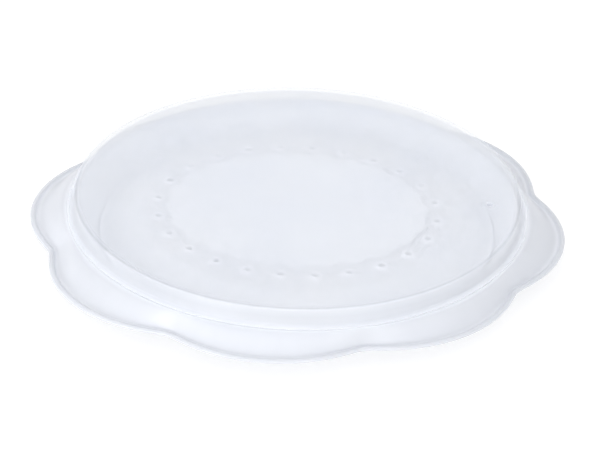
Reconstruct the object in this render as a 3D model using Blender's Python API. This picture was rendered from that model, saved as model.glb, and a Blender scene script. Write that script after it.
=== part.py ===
"""Low steam steriliser: a petalled water tray, a domed steam plate and a flat round lid.

World frame in metres, +Z up. The origin is the centre of the tray's flat underside,
and +X runs through the middle of one petal. The flange is a little wider along the line
through the notch at 22.5 degrees. The plate and the lid lift straight up.
"""
import math

import bmesh
import bpy

# Driving dimensions, in millimetres. Heights are measured from the tray's underside.
TOTAL_HEIGHT = 30.0          # tray's underside to the lid's flat top
LID_EDGE_RADIUS = 113.7      # where the lid's top turns into its side wall
LID_DROP = 9.2               # lid's top down to its foot
LID_FOOT_RADIUS = 117.2
LID_WALL = 1.5
LID_TURN = 1.6               # degrees that the lid's vent stands from +X
PETALS = 8
PETAL_CENTRE_RADIUS = 66.6   # centre of each petal's circle, from the axis
PETAL_CIRCLE_RADIUS = 68.2
NOTCH_FILLET = 1.9           # degrees of softening where two petals meet
OVAL_SHARE = 0.025           # how much wider the flange is along its long axis
OVAL_BEARING = 22.5          # degrees from +X to the long axis, through a notch
FLANGE_DROP = 20.0           # lid's top down to the lip's lower edge
LIP_WIDTH = 3.7
LIP_RISE = 1.0
TRAY_WALL = 1.7
UNDER_INSET = 1.3            # the sloping flange's underside, in from its top
UNDER_DROP = 0.9
TRAY_FLOOR = 1.8
TRAY_BASE_RADIUS = 90.0      # flat underside
SEAT_OUTER_RADIUS = 117.4
RING_RADIUS = 112.4          # ring that centres the lid, at its crest
RING_RISE = 2.7              # above the seat
LEDGE_HEIGHT = 7.2           # ledge that carries the plate
LEDGE_INNER_RADIUS = 96.4
LEDGE_OUTER_RADIUS = 101.3
PLATE_RIM_RADIUS = 100.9
PLATE_RIM_WIDTH = 3.5
PLATE_WALL = 1.5
HUB_HEIGHT = 20.7            # top of the plate's raised centre
HUB_HALF_LENGTH = 66.5       # the raised centre is oval, longest along X
HUB_HALF_WIDTH = 56.5
HUB_STEP = 2.1               # raised centre above the shoulder round it
SCALLOPS = 24
SCALLOP_DEPTH = 1.0
SHOULDER_RADIUS = 77.0
VENTS_HALF_LENGTH = 71.8     # the vents stand on a rounder oval
VENTS_HALF_WIDTH = 65.0
VENT_DIAMETER = 3.2
DRAINS = 8
DRAIN_WIDTH = 6.0
LID_VENT_RADIUS = 97.9       # the lid's vent, from the axis
LID_VENT_DIAMETER = 3.2
GAP = 0.3                    # between pieces that touch

MM = 0.001
FINE_SEGMENTS = 96
LID_SEGMENTS = 72
VENT_SIDES = 12

SEAT_HEIGHT = TOTAL_HEIGHT - LID_DROP - GAP
LIP_BOTTOM = TOTAL_HEIGHT - FLANGE_DROP
VALLEY = LIP_BOTTOM + LIP_RISE


def clear_scene():
    for item in list(bpy.data.objects):
        bpy.data.objects.remove(item, do_unlink=True)


def material(name, colour, roughness, alpha=1.0):
    surface = bpy.data.materials.new(name)
    surface.use_nodes = True
    shader = surface.node_tree.nodes["Principled BSDF"]
    shader.inputs["Base Color"].default_value = (*colour, 1.0)
    shader.inputs["Roughness"].default_value = roughness
    shader.inputs["Metallic"].default_value = 0.0
    shader.inputs["Alpha"].default_value = alpha
    return surface


def petal_radius(angle):
    """Outline of overlapping circles set round the axis, with softened notches between them."""
    pitch = 2 * math.pi / PETALS
    from_tip = abs((angle + pitch / 2) % pitch - pitch / 2)
    from_notch = math.hypot(pitch / 2 - from_tip, math.radians(NOTCH_FILLET))
    bearing = pitch / 2 - from_notch
    across = PETAL_CENTRE_RADIUS * math.sin(bearing)
    along = PETAL_CENTRE_RADIUS * math.cos(bearing)
    oval = 1 + OVAL_SHARE * math.cos(2 * (angle - math.radians(OVAL_BEARING)))
    return oval * (along + math.sqrt(PETAL_CIRCLE_RADIUS ** 2 - across ** 2))


def scallop(angle):
    """Small in-and-out of the plate's raised centre; its notches face the vents."""
    return -SCALLOP_DEPTH * math.cos(SCALLOPS * angle)


def ellipse(half_length, half_width, angle):
    """Distance from the centre of an ellipse to its edge."""
    return half_length * half_width / math.hypot(half_width * math.cos(angle), half_length * math.sin(angle))


def fixed(radius):
    """A ring whose radius is the same all round."""
    return lambda angle: radius


def from_outline(inset):
    """A ring that follows the petals, set in from them."""
    return lambda angle: petal_radius(angle) - inset


def across_flange(share, inset=0.0):
    """A ring part of the way from the seat's edge to the inside of the lip."""
    def radius(angle):
        inside_lip = petal_radius(angle) - LIP_WIDTH
        return SEAT_OUTER_RADIUS + share * (inside_lip - SEAT_OUTER_RADIUS) - inset
    return radius


def wavy(offset):
    """A ring that follows the scalloped oval edge of the raised centre, out from it by the offset."""
    return lambda angle: ellipse(HUB_HALF_LENGTH, HUB_HALF_WIDTH, angle) + offset + scallop(angle)


def turned_solid(name, rings, segments, surface):
    """Closed solid from rings listed from the top centre, out round the rim, and back below.

    The first and last entries are heights on the axis. The others pair a radius, as a
    function of the angle, with a height.
    """
    mesh = bpy.data.meshes.new(name)
    shell = bmesh.new()
    top = shell.verts.new((0, 0, rings[0] * MM))
    bottom = shell.verts.new((0, 0, rings[-1] * MM))
    loops = []
    for radius_at, height in rings[1:-1]:
        loop = []
        for step in range(segments):
            angle = 2 * math.pi * step / segments
            radius = radius_at(angle) * MM
            loop.append(shell.verts.new((radius * math.cos(angle), radius * math.sin(angle), height * MM)))
        loops.append(loop)
    for step in range(segments):
        after = (step + 1) % segments
        shell.faces.new((top, loops[0][step], loops[0][after]))
        shell.faces.new((bottom, loops[-1][after], loops[-1][step]))
        for upper, lower in zip(loops, loops[1:]):
            shell.faces.new((upper[step], lower[step], lower[after], upper[after]))
    shell.to_mesh(mesh)
    shell.free()
    mesh.shade_smooth()
    mesh.set_sharp_from_angle(angle=math.radians(35))
    mesh.materials.append(surface)
    piece = bpy.data.objects.new(name, mesh)
    bpy.context.collection.objects.link(piece)
    return piece


def add_prism(shell, centre, size, sides, turn):
    """Upright prism: a many-sided one stands for a round drill, a four-sided one for a slot."""
    x, y, z = centre
    width, height = size
    low = []
    high = []
    for step in range(sides):
        angle = turn + 2 * math.pi * (step + 0.5) / sides
        place = (x + width * math.cos(angle), y + width * math.sin(angle))
        low.append(shell.verts.new((place[0] * MM, place[1] * MM, (z - height / 2) * MM)))
        high.append(shell.verts.new((place[0] * MM, place[1] * MM, (z + height / 2) * MM)))
    shell.faces.new(list(reversed(low)))
    shell.faces.new(high)
    for step in range(sides):
        after = (step + 1) % sides
        shell.faces.new((low[step], low[after], high[after], high[step]))


def cut(piece, name, places, width, height, sides):
    """Cut one prism out of the piece at each (radius, angle, height) place."""
    shell = bmesh.new()
    for radius, angle, level in places:
        centre = (radius * math.cos(angle), radius * math.sin(angle), level)
        add_prism(shell, centre, (width, height), sides, angle)
    mesh = bpy.data.meshes.new(name)
    shell.to_mesh(mesh)
    shell.free()
    cutter = bpy.data.objects.new(name, mesh)
    bpy.context.collection.objects.link(cutter)
    cutter.hide_render = True
    cutter.display_type = "WIRE"
    modifier = piece.modifiers.new(name, "BOOLEAN")
    modifier.operation = "DIFFERENCE"
    modifier.solver = "EXACT"
    modifier.object = cutter


def flange_height(share):
    """The flange falls from the seat to the valley inside the lip in an S-curve."""
    eased = share * share * (3 - 2 * share)
    return SEAT_HEIGHT + eased * (VALLEY - SEAT_HEIGHT)


def build_tray(surface):
    """Water tray: floor, ledge, flared wall, locating ring, lid seat and petalled flange."""
    ring_top = SEAT_HEIGHT + RING_RISE
    inside = [
        TRAY_FLOOR,
        (fixed(TRAY_BASE_RADIUS - 2.0), TRAY_FLOOR),
        (fixed(TRAY_BASE_RADIUS + 1.0), TRAY_FLOOR + 0.6),
        (fixed(LEDGE_INNER_RADIUS), LEDGE_HEIGHT),
        (fixed(LEDGE_OUTER_RADIUS), LEDGE_HEIGHT),
        (fixed(RING_RADIUS - 1.0), ring_top - 0.6),
        (fixed(RING_RADIUS - 0.4), ring_top),
        (fixed(RING_RADIUS + 0.4), ring_top),
        (fixed(RING_RADIUS + 0.9), ring_top - 0.6),
        (fixed(RING_RADIUS + 1.1), SEAT_HEIGHT),
        (fixed(SEAT_OUTER_RADIUS), SEAT_HEIGHT),
    ]
    flange_top = [(across_flange(share), flange_height(share)) for share in (0.33, 0.66)]
    lip = [
        (from_outline(LIP_WIDTH), VALLEY),
        (from_outline(0.72 * LIP_WIDTH), VALLEY + 0.75 * LIP_RISE),
        (from_outline(0.45 * LIP_WIDTH), VALLEY + LIP_RISE),
        (from_outline(0.15 * LIP_WIDTH), VALLEY + 0.65 * LIP_RISE),
        (from_outline(0.0), LIP_BOTTOM + 0.7 * LIP_RISE),
        (from_outline(0.12 * LIP_WIDTH), LIP_BOTTOM),
        (from_outline(0.6 * LIP_WIDTH), LIP_BOTTOM + 0.3),
        (from_outline(LIP_WIDTH + UNDER_INSET), VALLEY - UNDER_DROP),
    ]
    flange_under = []
    for share in (0.66, 0.33):
        flange_under.append((across_flange(share, UNDER_INSET), flange_height(share) - UNDER_DROP))
    outside = [
        (fixed(SEAT_OUTER_RADIUS - UNDER_INSET), SEAT_HEIGHT - TRAY_WALL),
        (fixed(RING_RADIUS - 1.4), SEAT_HEIGHT - TRAY_WALL),
        (fixed(LEDGE_OUTER_RADIUS + 1.5), LEDGE_HEIGHT - 0.8),
        (fixed(LEDGE_OUTER_RADIUS + 0.9), LEDGE_HEIGHT - TRAY_WALL),
        (fixed(LEDGE_INNER_RADIUS + 0.8), LEDGE_HEIGHT - TRAY_WALL),
        (fixed(TRAY_BASE_RADIUS + 2.4), 1.2),
        (fixed(TRAY_BASE_RADIUS + 0.9), 0.2),
        (fixed(TRAY_BASE_RADIUS), 0.0),
        0.0,
    ]
    rings = inside + flange_top + lip + flange_under + outside
    return turned_solid("base_tray", rings, FINE_SEGMENTS, surface)


def build_plate(surface):
    """Steam plate: scalloped oval raised centre, shoulder with vents, sloping skirt and drained rim."""
    shoulder = HUB_HEIGHT - HUB_STEP
    rim_bottom = LEDGE_HEIGHT + GAP
    rim_inside = PLATE_RIM_RADIUS - PLATE_RIM_WIDTH
    rings = [
        HUB_HEIGHT,
        (wavy(-1.2), HUB_HEIGHT),
        (wavy(0.0), HUB_HEIGHT - 0.4),
        (wavy(0.8), shoulder + 0.4),
        (wavy(1.8), shoulder),
        (fixed(SHOULDER_RADIUS), shoulder - 0.2),
        (fixed(SHOULDER_RADIUS + 3.0), shoulder - 1.0),
        (fixed(rim_inside + 0.6), rim_bottom + 2.1),
        (fixed(rim_inside + 2.1), rim_bottom + PLATE_WALL),
        (fixed(PLATE_RIM_RADIUS), rim_bottom + PLATE_WALL),
        (fixed(PLATE_RIM_RADIUS), rim_bottom),
        (fixed(rim_inside), rim_bottom),
        (fixed(rim_inside - 0.6), rim_bottom + 0.7),
        (fixed(SHOULDER_RADIUS + 2.4), shoulder - 1.0 - PLATE_WALL),
        (fixed(SHOULDER_RADIUS - 0.2), shoulder - 0.2 - PLATE_WALL),
        (wavy(1.0), shoulder - PLATE_WALL),
        (wavy(-0.8), HUB_HEIGHT - PLATE_WALL - 0.6),
        (wavy(-1.8), HUB_HEIGHT - PLATE_WALL),
        HUB_HEIGHT - PLATE_WALL,
    ]
    plate = turned_solid("steam_plate", rings, FINE_SEGMENTS, surface)
    vents = []
    for index in range(SCALLOPS):
        angle = 2 * math.pi * index / SCALLOPS
        vents.append((ellipse(VENTS_HALF_LENGTH, VENTS_HALF_WIDTH, angle), angle, shoulder))
    cut(plate, "vent_drills", vents, VENT_DIAMETER / 2, 6.0, VENT_SIDES)
    drains = []
    for index in range(DRAINS):
        drains.append((PLATE_RIM_RADIUS + 1.6, 2 * math.pi * (index + 0.5) / DRAINS, rim_bottom))
    cut(plate, "drain_slots", drains, DRAIN_WIDTH / math.sqrt(2), 8.0, 4)
    return plate


def build_lid(surface):
    """Lid: flat panel, rounded edge, flared side wall and a foot rim, with one vent through it."""
    foot = TOTAL_HEIGHT - LID_DROP
    under = TOTAL_HEIGHT - LID_WALL
    rings = [
        TOTAL_HEIGHT,
        (fixed(LID_EDGE_RADIUS - 3.5), TOTAL_HEIGHT),
        (fixed(LID_EDGE_RADIUS - 1.9), TOTAL_HEIGHT - 0.2),
        (fixed(LID_EDGE_RADIUS - 0.6), TOTAL_HEIGHT - 0.8),
        (fixed(LID_EDGE_RADIUS + 0.3), TOTAL_HEIGHT - 1.8),
        (fixed(LID_FOOT_RADIUS - 1.1), foot + 1.2),
        (fixed(LID_FOOT_RADIUS), foot + 0.7),
        (fixed(LID_FOOT_RADIUS), foot),
        (fixed(LID_FOOT_RADIUS - 2.3), foot),
        (fixed(LID_FOOT_RADIUS - 2.6), foot + 0.6),
        (fixed(LID_EDGE_RADIUS - 0.9), under - 1.2),
        (fixed(LID_EDGE_RADIUS - 2.2), under - 0.3),
        (fixed(LID_EDGE_RADIUS - 3.9), under),
        under,
    ]
    lid = turned_solid("lid", rings, LID_SEGMENTS, surface)
    place = (LID_VENT_RADIUS, math.radians(LID_TURN), under)
    cut(lid, "lid_vent_drill", [place], LID_VENT_DIAMETER / 2, 8.0, VENT_SIDES)
    return lid


def hang_on(piece, name):
    """Parent the piece to an empty on the vertical axis along which it lifts."""
    holder = bpy.data.objects.new(name, None)
    bpy.context.collection.objects.link(holder)
    piece.parent = holder
    return holder


clear_scene()
frosted = material("frosted_plastic", (0.86, 0.89, 0.94), 0.38, 0.75)
plate_plastic = material("plate_plastic", (0.90, 0.91, 0.94), 0.42)
lid_plastic = material("lid_plastic", (0.84, 0.88, 0.94), 0.30, 0.65)
build_tray(frosted)
plate_axis = hang_on(build_plate(plate_plastic), "plate_lift_axis")
lid_axis = hang_on(build_lid(lid_plastic), "lid_lift_axis")
lid_axis.parent = plate_axis
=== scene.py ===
import math

import bpy
import numpy as np
from mathutils import Matrix, Vector


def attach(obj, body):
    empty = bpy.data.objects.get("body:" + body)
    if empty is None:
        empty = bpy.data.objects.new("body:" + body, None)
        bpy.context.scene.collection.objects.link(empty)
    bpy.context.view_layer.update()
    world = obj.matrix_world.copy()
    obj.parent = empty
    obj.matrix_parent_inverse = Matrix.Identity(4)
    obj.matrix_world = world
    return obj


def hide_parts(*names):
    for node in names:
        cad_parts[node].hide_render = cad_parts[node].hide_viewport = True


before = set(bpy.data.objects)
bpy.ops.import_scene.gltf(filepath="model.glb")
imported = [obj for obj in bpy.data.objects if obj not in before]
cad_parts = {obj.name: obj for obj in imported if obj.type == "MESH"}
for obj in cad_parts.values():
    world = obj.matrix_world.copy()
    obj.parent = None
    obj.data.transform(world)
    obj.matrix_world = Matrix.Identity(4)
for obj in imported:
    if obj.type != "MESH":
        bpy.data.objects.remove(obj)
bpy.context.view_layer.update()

MM = 0.001

# ---------------------------------------------------------------- water tray
# The tray is one moulding in natural frosted polypropylene: a low bowl for the water, a ledge that
# carries the plate, a ring that centres the lid and a flange whose edge swells into eight petals.
# A rounded lip stiffens the petals' edge.

seat_height = 20.5
ring_crest = 23.2
valley_height = 11.0
lip_bottom = 10.0
lip_width = 3.7
lip_rise = 1.0
seat_edge = 117.4
petal_reach = 134.8


def arc_corners(corners, points=9):
    """Path through (radius, height, rounding) corners: each corner becomes an arc of its rounding,
    tangent to both sides, so the path is straight runs joined by arcs. A rounding of 0 stays sharp."""
    spots = np.array([corner[:2] for corner in corners], float)
    path = [spots[:1]]
    for before, here, after, corner in zip(spots, spots[1:], spots[2:], corners[1:]):
        rounding = corner[2]
        if rounding == 0:
            path.append(here[None])
            continue
        back = (before - here) / np.linalg.norm(before - here)
        on = (after - here) / np.linalg.norm(after - here)
        half = 0.5 * math.acos(np.clip(back @ on, -1, 1))
        middle = here + (back + on) / np.linalg.norm(back + on) * rounding / math.sin(half)
        start = here + back * rounding / math.tan(half) - middle
        end = here + on * rounding / math.tan(half) - middle
        sweep = math.pi - 2 * half
        share = np.linspace(0, 1, points)[:, None]
        swing = start * np.sin((1 - share) * sweep) + end * np.sin(share * sweep)
        path.append(middle + swing / math.sin(sweep))
    path.append(spots[-1:])
    return np.vstack(path)


def fill_runs(path, longest):
    """The same path with its long straight runs split evenly, no piece longer than the given length."""
    filled = [path[:1]]
    for start, end in zip(path, path[1:]):
        pieces = max(1, math.ceil(np.linalg.norm(end - start) / longest))
        filled.append(start + (end - start) * np.linspace(0, 1, pieces + 1)[1:, None])
    return np.vstack(filled)


def turned_surface(name, path, around, place, paint_light_shade):
    """Closed surface of a path carried round the axis. place turns radius, height and angle grids
    into x, y, z grids. The path starts and ends on the axis, where each end closes in a fan. The last
    argument turns the same grids into painted shade, how much darker the plastic is painted there, or below
    zero painted light."""
    angle = np.linspace(0, 2 * math.pi, around, endpoint=False)
    radius, bearing = np.meshgrid(path[1:-1, 0], angle, indexing="ij")
    height = np.repeat(path[1:-1, 1:], around, axis=1)
    grid = np.stack(place(radius, height, bearing), axis=-1).reshape(-1, 3)
    poles = np.stack(place(path[[0, -1], 0], path[[0, -1], 1], np.zeros(2)), axis=-1)
    spots = np.vstack([poles, grid]) * MM
    rows = len(path) - 2
    index = np.arange(rows * around).reshape(rows, around) + 2
    beside = np.roll(index, -1, axis=1)
    quads = np.stack([index[:-1], index[1:], beside[1:], beside[:-1]], axis=-1).reshape(-1, 4)
    first = np.stack([np.zeros(around, int), index[0], beside[0]], axis=-1)
    last = np.stack([np.ones(around, int), beside[-1], index[-1]], axis=-1)
    corners = np.concatenate([first.ravel(), quads.ravel(), last.ravel()])
    sizes = np.concatenate([np.full(around, 3), np.full(len(quads), 4), np.full(around, 3)])
    mesh = bpy.data.meshes.new(name)
    mesh.vertices.add(len(spots))
    mesh.loops.add(len(corners))
    mesh.polygons.add(len(sizes))
    mesh.vertices.foreach_set("co", spots.ravel())
    mesh.loops.foreach_set("vertex_index", corners)
    mesh.polygons.foreach_set("loop_start", np.concatenate([[0], np.cumsum(sizes)[:-1]]))
    mesh.polygons.foreach_set("loop_total", sizes)
    mesh.update(calc_edges=True)
    mesh.validate()
    # Painted light and shade per point: above zero the plastic is painted darker, below zero lighter.
    shade = np.concatenate([np.zeros(2), paint_light_shade(radius, height, bearing).ravel()])
    mesh.attributes.new("painted_light_shade", "FLOAT", "POINT").data.foreach_set("value", shade)
    mesh.shade_smooth()
    piece = bpy.data.objects.new(name, mesh)
    bpy.context.collection.objects.link(piece)
    return piece


def bell(distance, width):
    """One where the distance is nil, and down to nothing by a raised cosine over the width."""
    return 0.5 + 0.5 * np.cos(math.pi * np.clip(distance / width, -1, 1))


def petal_outline(angle):
    """Edge of eight equal circles set round the axis. Where two meet, the distance to the notch is
    rounded off as a hypotenuse. The whole outline is stretched along its long axis by a cosine."""
    pitch = math.pi / 4
    centre, circle, fillet, oval = 66.6, 68.2, math.radians(1.9), 0.025
    from_tip = np.abs((angle + pitch / 2) % pitch - pitch / 2)
    bearing = pitch / 2 - np.hypot(pitch / 2 - from_tip, fillet)
    reach = centre * np.cos(bearing) + np.sqrt(circle ** 2 - (centre * np.sin(bearing)) ** 2)
    return reach * (1 + oval * np.cos(2 * (angle - math.radians(22.5))))


def place_on_tray(radius, height, angle):
    """Inside the seat's edge the path is simply turned. Outside it, the slope is stretched to reach
    the lip, and the lip keeps its width and follows the petals."""
    outline = petal_outline(angle)
    inner_lip = petal_reach - lip_width
    slope = (radius - seat_edge) / (inner_lip - seat_edge)
    on_slope = seat_edge + slope * (outline - lip_width - seat_edge)
    on_lip = outline + radius - petal_reach
    across = np.where(radius > inner_lip, on_lip, np.where(radius > seat_edge, on_slope, radius))
    return across * np.cos(angle), across * np.sin(angle), height


def flange_slope(count, inset, drop):
    """S-curve from the seat's edge down to the valley: even steps out, height by 3t^2 - 2t^3."""
    share = np.linspace(0, 1, count)
    fall = share * share * (3 - 2 * share)
    radius = seat_edge + share * (petal_reach - lip_width - seat_edge) - inset
    return np.stack([radius, seat_height + fall * (valley_height - seat_height) - drop], axis=1)


def lip_section():
    """Bead on the flange's edge: a raised-cosine swell, a quarter round over the outer edge and a
    smaller round under it."""
    crest = petal_reach - 0.5 * lip_width
    rise = np.linspace(0, 1, 9)[1:, None]
    swell = np.hstack([
        petal_reach - lip_width + rise * 0.5 * lip_width,
        valley_height + 0.5 * lip_rise * (1 - np.cos(math.pi * rise)),
    ])
    turn = np.linspace(0, math.pi / 2, 10)[1:, None]
    over_height = valley_height + lip_rise - lip_bottom - 0.9
    over = np.hstack([crest + 0.5 * lip_width * np.sin(turn), lip_bottom + 0.9 + over_height * np.cos(turn)])
    under = np.hstack([petal_reach - 0.9 + 0.9 * np.cos(turn), lip_bottom + 0.9 - 0.9 * np.sin(turn)])
    return np.vstack([swell, over, under])


bowl_inside = arc_corners([
    (0, 1.8, 0),
    (89.9, 1.8, 4.0),
    (96.2, 7.2, 0.9),
    (101.3, 7.2, 0.9),
    (111.75, ring_crest, 0.5),
    (113.25, ring_crest, 0.6),
    (113.5, seat_height, 0.5),
    (seat_edge, seat_height, 0),
])
bowl_outside = arc_corners([
    (116.3, 19.4, 0),
    (116.0, 18.8, 0.3),
    (111.1, 18.8, 1.2),
    (102.6, 5.5, 1.2),
    (97.3, 5.5, 1.0),
    (91.3, 0, 1.6),
    (86.0, 0, 0),
    (85.4, 0.4, 0),
    (0, 0.4, 0),
])
tray_path = np.vstack([
    fill_runs(bowl_inside, 8.0)[:-1],
    flange_slope(22, 0, 0),
    lip_section(),
    [[petal_reach - 2.2, lip_bottom + 0.3]],
    flange_slope(14, 1.3, 0.9)[::-1],
    fill_runs(bowl_outside, 8.0),
])


def tray_painted_light_shade(radius, height, angle):
    """Set for the look, not for the thickness: painted shade makes the lip's outer edge a little darker,
    and painted light lightens the line inside the lip, the line round the seat and the bowl with its ledge,
    where shade falls in creases and under the lid."""
    # Painted shade along the lip's outer edge.
    edge = 0.03 * bell(radius - petal_reach, 0.9) * (height < valley_height + 0.8)
    # Painted light round the seat's edge, against the shade in the crease under the lid's foot.
    seat = 0.24 * bell(radius - seat_edge, 2.6) * (height > valley_height)
    # Painted light on the bowl, the ring and the ledge, which lie in the lid's shade.
    inside = 0.18 * np.clip((113.5 - radius) / 1.5, 0, 1) + 0.06 * bell(radius - 101.6, 3.0)
    # Painted light on the line inside the lip, where the valley's crease is shaded.
    return edge - seat - inside - 0.15 * bell(radius - petal_reach + lip_width, 1.8)


tray = turned_surface("water_tray", tray_path, 480, place_on_tray, tray_painted_light_shade)


def node_at(tree, kind, **settings):
    """A shader node with its plain settings and socket values filled in."""
    node = tree.nodes.new(kind)
    for key, value in settings.items():
        if key in node.inputs:
            node.inputs[key].default_value = value
        else:
            setattr(node, key, value)
    return node


def frosted_plastic(name, thin, thick, alpha, glow, roughness, grain):
    """Natural polypropylene: cloudy tint, faint streaks running out from the gate at the centre,
    fine eggshell grain and long shallow waves in the moulded face. The tint is scaled by the painted light
    and shade stored on the points."""
    material = bpy.data.materials.new(name)
    material.use_nodes = True
    tree = material.node_tree
    link = tree.links.new
    shader = tree.nodes["Principled BSDF"]
    shader.inputs["Alpha"].default_value = alpha
    shader.inputs["IOR"].default_value = 1.49
    shader.inputs["Subsurface Weight"].default_value = glow
    shader.inputs["Subsurface Radius"].default_value = (1.0, 1.0, 1.0)
    shader.inputs["Subsurface Scale"].default_value = 0.002
    where = node_at(tree, "ShaderNodeTexCoord")
    cloud = node_at(tree, "ShaderNodeTexNoise", Scale=28.0, Detail=3.0, Roughness=0.5)
    link(where.outputs["Object"], cloud.inputs["Vector"])
    outward = node_at(tree, "ShaderNodeVectorMath", operation="NORMALIZE")
    link(where.outputs["Object"], outward.inputs[0])
    split = node_at(tree, "ShaderNodeSeparateXYZ")
    link(outward.outputs["Vector"], split.inputs[0])
    distance = node_at(tree, "ShaderNodeVectorMath", operation="LENGTH")
    link(where.outputs["Object"], distance.inputs[0])
    polar = node_at(tree, "ShaderNodeCombineXYZ")
    link(split.outputs["X"], polar.inputs["X"])
    link(split.outputs["Y"], polar.inputs["Y"])
    link(distance.outputs["Value"], polar.inputs["Z"])
    streaks = node_at(tree, "ShaderNodeTexNoise", Scale=9.0, Detail=4.0, Roughness=0.6)
    link(polar.outputs[0], streaks.inputs["Vector"])
    blend = node_at(tree, "ShaderNodeMath", operation="MULTIPLY_ADD")
    link(streaks.outputs["Fac"], blend.inputs[0])
    blend.inputs[1].default_value = 0.35
    link(cloud.outputs["Fac"], blend.inputs[2])
    tint = node_at(tree, "ShaderNodeValToRGB")
    tint.color_ramp.elements[0].position = 0.42
    tint.color_ramp.elements[0].color = (*thick, 1)
    tint.color_ramp.elements[1].position = 0.92
    tint.color_ramp.elements[1].color = (*thin, 1)
    link(blend.outputs[0], tint.inputs["Fac"])
    # Painted light and shade: the tint is scaled by one minus the value each point carries.
    paint_light_shade = node_at(tree, "ShaderNodeAttribute", attribute_name="painted_light_shade")
    painted_lightness = node_at(tree, "ShaderNodeMath", operation="SUBTRACT")
    painted_lightness.inputs[0].default_value = 1.0
    link(paint_light_shade.outputs["Fac"], painted_lightness.inputs[1])
    tint_with_painted_light = node_at(tree, "ShaderNodeVectorMath", operation="SCALE")
    link(tint.outputs["Color"], tint_with_painted_light.inputs[0])
    link(painted_lightness.outputs[0], tint_with_painted_light.inputs["Scale"])
    link(tint_with_painted_light.outputs[0], shader.inputs["Base Color"])
    gloss = node_at(tree, "ShaderNodeMapRange")
    gloss.inputs["To Min"].default_value = roughness - 0.06
    gloss.inputs["To Max"].default_value = roughness + 0.08
    link(cloud.outputs["Fac"], gloss.inputs["Value"])
    link(gloss.outputs["Result"], shader.inputs["Roughness"])
    eggshell = node_at(tree, "ShaderNodeTexNoise", Scale=grain, Detail=2.0)
    link(where.outputs["Object"], eggshell.inputs["Vector"])
    fine = node_at(tree, "ShaderNodeBump", Strength=0.25, Distance=0.00006)
    link(eggshell.outputs["Fac"], fine.inputs["Height"])
    waves = node_at(tree, "ShaderNodeTexNoise", Scale=34.0, Detail=1.0)
    link(where.outputs["Object"], waves.inputs["Vector"])
    broad = node_at(tree, "ShaderNodeBump", Strength=0.5, Distance=0.0008)
    link(waves.outputs["Fac"], broad.inputs["Height"])
    link(fine.outputs["Normal"], broad.inputs["Normal"])
    link(broad.outputs["Normal"], shader.inputs["Normal"])
    return material


tray.data.materials.append(frosted_plastic(
    "tray_plastic", thin=(0.715, 0.735, 0.785), thick=(0.675, 0.695, 0.745), alpha=0.72, glow=0.3,
    roughness=0.36, grain=900.0))
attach(tray, "tray")
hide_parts("base_tray")

# ---------------------------------------------------------------- steam plate
# The plate lifts out of the tray. It is a whiter moulding of the same plastic: a raised centre with
# a scalloped edge, a vent facing each of its notches, and a skirt that falls to a rim on the ledge.

hub_top = 20.7
hub_reach = 66.5
shoulder = 18.6
rim_bottom = 7.5
vent_pitch = math.pi / 12
vent_radius = 1.6
drain_reach = 102.4
drain_radius = 3.4


def oval(half_length, half_width, angle):
    """Distance from the centre of an ellipse to its edge."""
    return half_length * half_width / np.hypot(half_width * np.cos(angle), half_length * np.sin(angle))


def plate_radius(radius, angle):
    """Inside the raised centre's edge the path is squeezed to an ellipse, and just outside it comes
    back to round. A narrow band at the edge also goes in and out by a cosine of 24 times the angle."""
    squeeze = oval(hub_reach, 56.5, angle) - hub_reach
    share = np.clip(radius / hub_reach, 0, 1) * np.clip((78.0 - radius) / 10, 0, 1)
    inside = np.clip((radius - 52) / 10, 0, 1)
    outside = np.clip((70.6 - radius) / 2.4, 0, 1)
    band = inside * inside * (3 - 2 * inside) * outside * outside * (3 - 2 * outside)
    return radius + share * squeeze - band * np.cos(24 * angle)


def vent_centre(index):
    """The vents stand at even bearings on an oval that is rounder than the raised centre's."""
    reach = oval(71.8, 65.0, index * vent_pitch)
    return reach * np.cos(index * vent_pitch), reach * np.sin(index * vent_pitch)


def from_vent(across, angle):
    """Distance to the centre of the vent with the nearest bearing."""
    x, y = vent_centre(np.round(angle / vent_pitch))
    return np.hypot(across * np.cos(angle) - x, across * np.sin(angle) - y)


def place_on_plate(radius, height, angle):
    """The path is turned at the plate's own radius. A low collar, a raised-cosine ring, stands round
    each vent, and the centre is uneven: a slow sine of the radius, bent by a sine of the angle."""
    across = plate_radius(radius, angle)
    collar = 1.5 * bell(from_vent(across, angle) - 2.6, 1.9) * (height > shoulder - 0.3)
    fade = np.clip(radius / 20, 0, 1) * np.clip(1.2 - radius / 55, 0, 1)
    uneven = 0.35 * fade * np.sin(radius / 9 + 1.5 * np.sin(2 * angle))
    return across * np.cos(angle), across * np.sin(angle), height + collar + uneven


def plate_painted_light_shade(radius, height, angle):
    """Set for the look, not for the thickness: painted light lifts the raised centre, the skirt and most
    of all its rim, a painted highlight lightens the collars, and painted shade darkens the centre's edge and
    the ring round it."""
    # Painted light on the raised centre.
    centre = -0.07 * np.clip((67.0 - radius) / 1.2, 0, 1)
    # Painted shade along the raised centre's edge, at its step.
    edge = 0.16 * bell(radius - 67.0, 0.7)
    # Painted highlight on the collars round the vents.
    collar = -0.22 * bell(from_vent(plate_radius(radius, angle), angle) - 2.6, 2.2)
    # Painted light on the skirt.
    skirt = -0.06 * np.clip((radius - 78.0) / 3.0, 0, 1)
    # Painted light on the rim, against the shade in its gap to the ledge.
    rim = -0.14 * np.clip((radius - 99.0) / 1.5, 0, 1)
    # Painted shade on the ring round the raised centre.
    ring = 0.03 * np.clip((radius - 67.5) / 1.0, 0, 1) * np.clip((80.0 - radius) / 6.0, 0, 1)
    return centre + edge + ring + collar + skirt + rim


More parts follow.
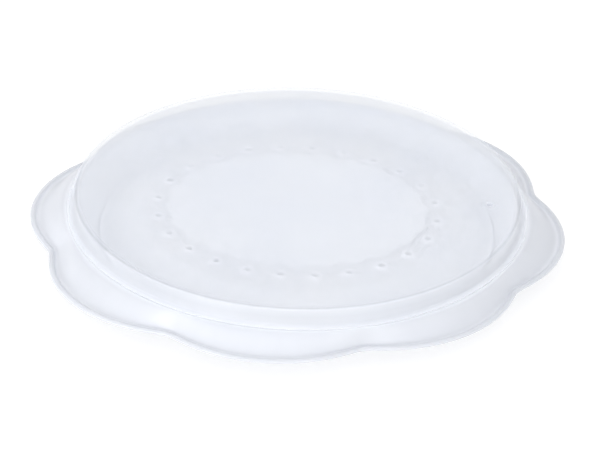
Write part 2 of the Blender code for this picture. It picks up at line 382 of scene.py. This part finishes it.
plate_path = fill_runs(arc_corners([
    (0, hub_top, 0),
    (66.3, hub_top, 0.9),
    (67.5, shoulder, 0.8),
    *[(68.4 + 0.35 * step, shoulder, 0) for step in range(24)],
    (78.5, shoulder - 0.2, 4.0),
    (98.6, rim_bottom + 1.5, 1.5),
    (100.9, rim_bottom + 1.5, 0.6),
    (100.9, rim_bottom, 0.5),
    (97.2, rim_bottom, 0.5),
    (77.9, shoulder - 1.7, 3.5),
    (66.3, shoulder - 1.5, 0.6),
    (65.1, hub_top - 1.5, 0.8),
    (0, hub_top - 1.5, 0),
]), 3.0)
plate = turned_surface("vented_plate", plate_path, 528, place_on_plate, plate_painted_light_shade)


def drill(piece, name, places, radius, depth, sides, flare=0.0):
    """Cut upright holes: each drill is a turned prism, wider by the flare at both faces and set a
    little askew, so that its corners miss the piece's own lines."""
    level = np.array([-1.0, -0.42, -0.3, 0.3, 0.42, 1.0]) * depth / 2
    width = radius + flare * np.array([2.0, 1.0, 0.0, 0.0, 1.0, 2.0])
    angle = np.linspace(0, 2 * math.pi, sides, endpoint=False) + 0.07
    ring = np.stack([np.cos(angle), np.sin(angle)], axis=-1)
    flat = (width[:, None, None] * ring[None]).reshape(-1, 2)
    shape = np.column_stack([flat, np.repeat(level, sides)])
    index = np.arange(len(level) * sides).reshape(len(level), sides)
    beside = np.roll(index, -1, axis=1)
    walls = np.stack([index[:-1], beside[:-1], beside[1:], index[1:]], axis=-1).reshape(-1, 4)
    spots, faces = [], []
    for x, y, z in places:
        shift = len(spots) * len(shape)
        spots.append(shape + (x, y, z))
        faces += (walls + shift).tolist()
        faces += [(index[0][::-1] + shift).tolist(), (index[-1] + shift).tolist()]
    mesh = bpy.data.meshes.new(name)
    mesh.from_pydata((np.vstack(spots) * MM).tolist(), [], faces)
    cutter = bpy.data.objects.new(name, mesh)
    bpy.context.collection.objects.link(cutter)
    modifier = piece.modifiers.new(name, "BOOLEAN")
    modifier.operation = "DIFFERENCE"
    modifier.solver = "EXACT"
    modifier.object = cutter
    evaluated = piece.evaluated_get(bpy.context.evaluated_depsgraph_get())
    cut_mesh = bpy.data.meshes.new_from_object(evaluated)
    piece.modifiers.clear()
    piece.data = cut_mesh
    bpy.data.objects.remove(cutter, do_unlink=True)
    cut_mesh.shade_smooth()
    cut_mesh.set_sharp_from_angle(angle=math.radians(38))


vents = np.column_stack([*vent_centre(np.arange(24)), np.full(24, shoulder - 0.8)])
drill(plate, "vent_drills", vents, vent_radius, 6.0, 24, flare=0.1)
drain = (np.arange(8) + 0.5) * math.pi / 4
drains = np.column_stack([drain_reach * np.cos(drain), drain_reach * np.sin(drain), np.full(8, rim_bottom)])
drill(plate, "drain_drills", drains, drain_radius, 8.0, 32)
plate.data.materials.append(frosted_plastic(
    "plate_plastic", thin=(0.86, 0.88, 0.93), thick=(0.82, 0.84, 0.90), alpha=0.9, glow=0.1,
    roughness=0.42, grain=800.0))
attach(plate, "plate")
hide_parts("steam_plate")

# ---------------------------------------------------------------- lid
# The lid is a thin clear-frosted moulding that rests on the tray's seat: a flat panel, a rounded
# edge, a flared wall with a small foot rim, and one steam vent near the edge.

lid_top = 30.0
lid_foot = 20.55
vent_bearing = math.radians(1.6)
vent_reach = 97.9
lid_vent = (vent_reach * math.cos(vent_bearing), vent_reach * math.sin(vent_bearing), lid_top - 0.8)


def place_on_lid(radius, height, angle):
    """The path is turned, and the panel sags a little: by a squared parabola of the radius, plus
    a much smaller wave round the panel."""
    inside = np.clip(1 - (radius / 110.0) ** 2, 0, 1)
    sag = 0.4 * inside ** 2 + 0.12 * inside * (radius / 110.0) * np.sin(3 * angle + 0.7)
    across, along = radius * np.cos(angle), radius * np.sin(angle)
    beside_vent = np.hypot(across - lid_vent[0], along - lid_vent[1])
    collar = 0.7 * bell(beside_vent - 2.5, 1.6) * (height > lid_top - 1)
    return across, along, height - sag + collar


lid_path = fill_runs(arc_corners([
    (0, lid_top - 0.2, 0),
    *[(93.0 + 0.6 * step, lid_top - 0.2, 0) for step in range(18)],
    (110.6, lid_top - 0.2, 0.8),
    (111.5, lid_top, 0.8),
    (114.0, lid_top, 1.3),
    (115.9, 22.6, 3.0),
    (117.4, lid_foot + 0.35, 0.3),
    (117.3, lid_foot, 0.1),
    (114.8, lid_foot, 0.3),
    (114.5, 22.4, 0.6),
    (112.5, lid_top - 1.5, 1.2),
    (0, lid_top - 1.5, 0),
]), 3.0)


def lid_painted_light_shade(radius, height, angle):
    """Set for the look, not for the thickness: painted shade darkens the panel's corner and the wall's
    inside, a painted highlight lightens the outer rounding, and painted light lightens the foot."""
    # Painted shade at the panel's corner, a dark line along the edge.
    corner = 0.22 * bell(radius - 113.0, 0.8) * (height > lid_top - 0.5)
    # Painted highlight on the outer rounding.
    rounding = -0.10 * bell(radius - 114.1, 0.7) * (height > lid_top - 2.5) * (height < lid_top - 0.3)
    # Painted light at the foot, against the shade in its crease on the seat.
    foot = -0.14 * bell(height - lid_foot, 1.9)
    on_wall = (height > lid_foot + 1.5) * (height < lid_top - 1.4)
    # Painted shade on the wall's inside.
    inner_wall_painted_shade = 0.45 * (radius > 112.4) * (radius < 114.9) * on_wall
    return corner + rounding + foot + inner_wall_painted_shade


lid = turned_surface("flat_lid", lid_path, 480, place_on_lid, lid_painted_light_shade)
drill(lid, "lid_vent_drill", [lid_vent], vent_radius, 6.0, 24, flare=0.1)
lid.data.materials.append(frosted_plastic(
    "lid_plastic", thin=(0.94, 0.96, 1.0), thick=(0.90, 0.93, 0.99), alpha=0.30, glow=0.12,
    roughness=0.30, grain=1000.0))
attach(lid, "lid")
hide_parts("lid")

# ---------------------------------------------------------------- studio
# A plain white floor under an even white sky. A large soft light stands low at the front left, and
# two weaker ones at the front right and the left. The long lens looks down by about thirty degrees.

floor_mesh = bpy.data.meshes.new("studio_floor")
half = 4.0
floor_corners = [(-half, -half, 0), (half, -half, 0), (half, half, 0), (-half, half, 0)]
floor_mesh.from_pydata(floor_corners, [], [(0, 1, 2, 3)])
floor = bpy.data.objects.new("studio_floor", floor_mesh)
bpy.context.collection.objects.link(floor)
paper = bpy.data.materials.new("white_paper")
paper.use_nodes = True
paper_shader = paper.node_tree.nodes["Principled BSDF"]
paper_shader.inputs["Base Color"].default_value = (0.45, 0.45, 0.45, 1)
paper_shader.inputs["Roughness"].default_value = 0.9
paper_shader.inputs["Emission Color"].default_value = (1.0, 1.0, 1.0, 1)
paper_shader.inputs["Emission Strength"].default_value = 0.60
floor_mesh.materials.append(paper)

sky = bpy.data.worlds.new("white_sky")
sky.use_nodes = True
sky.node_tree.nodes["Background"].inputs["Color"].default_value = (1.0, 1.0, 1.0, 1)
sky.node_tree.nodes["Background"].inputs["Strength"].default_value = 1.0
bpy.context.scene.world = sky
bpy.context.scene.view_settings.view_transform = "Standard"


def soft_light(name, place, target, size, power):
    """Square area light at a place, facing a target, both in metres."""
    lamp = bpy.data.lights.new(name, "AREA")
    lamp.size = size
    lamp.energy = power
    holder = bpy.data.objects.new(name, lamp)
    holder.location = place
    aim = Vector(target) - Vector(place)
    holder.rotation_euler = aim.to_track_quat("-Z", "Y").to_euler()
    bpy.context.collection.objects.link(holder)


soft_light("key_light", (-0.74, -1.30, 0.31), (0, 0, 0.02), 0.7, 9.5)
soft_light("fill_light", (0.80, -1.22, 0.24), (0, 0, 0.02), 0.6, 3.0)
soft_light("edge_light", (-1.40, 0.42, 0.34), (0, 0, 0.02), 0.5, 1.5)

camera_data = bpy.data.cameras.new("camera")
camera_data.sensor_width = 36.0
camera_data.lens = 180.0
camera = bpy.data.objects.new("camera", camera_data)
bpy.context.collection.objects.link(camera)
bpy.context.scene.camera = camera
azimuth, elevation, roll = math.radians(6.31), math.radians(30.39), math.radians(1.745)
flat_right = Vector((math.cos(azimuth), math.sin(azimuth), 0))
flat_ahead = Vector((-math.sin(azimuth), math.cos(azimuth), 0))
up = flat_ahead * math.sin(elevation) + Vector((0, 0, math.cos(elevation)))
back = -flat_ahead * math.cos(elevation) + Vector((0, 0, math.sin(elevation)))
right = flat_right * math.cos(roll) + up * math.sin(roll)
up = up * math.cos(roll) - flat_right * math.sin(roll)
aim_point = flat_right * 0.0016 - flat_ahead * 0.0342 + Vector((0, 0, lid_top * MM))
place = aim_point + back * 1.5002
camera.matrix_world = Matrix.Translation(place) @ Matrix((right, up, back)).transposed().to_4x4()
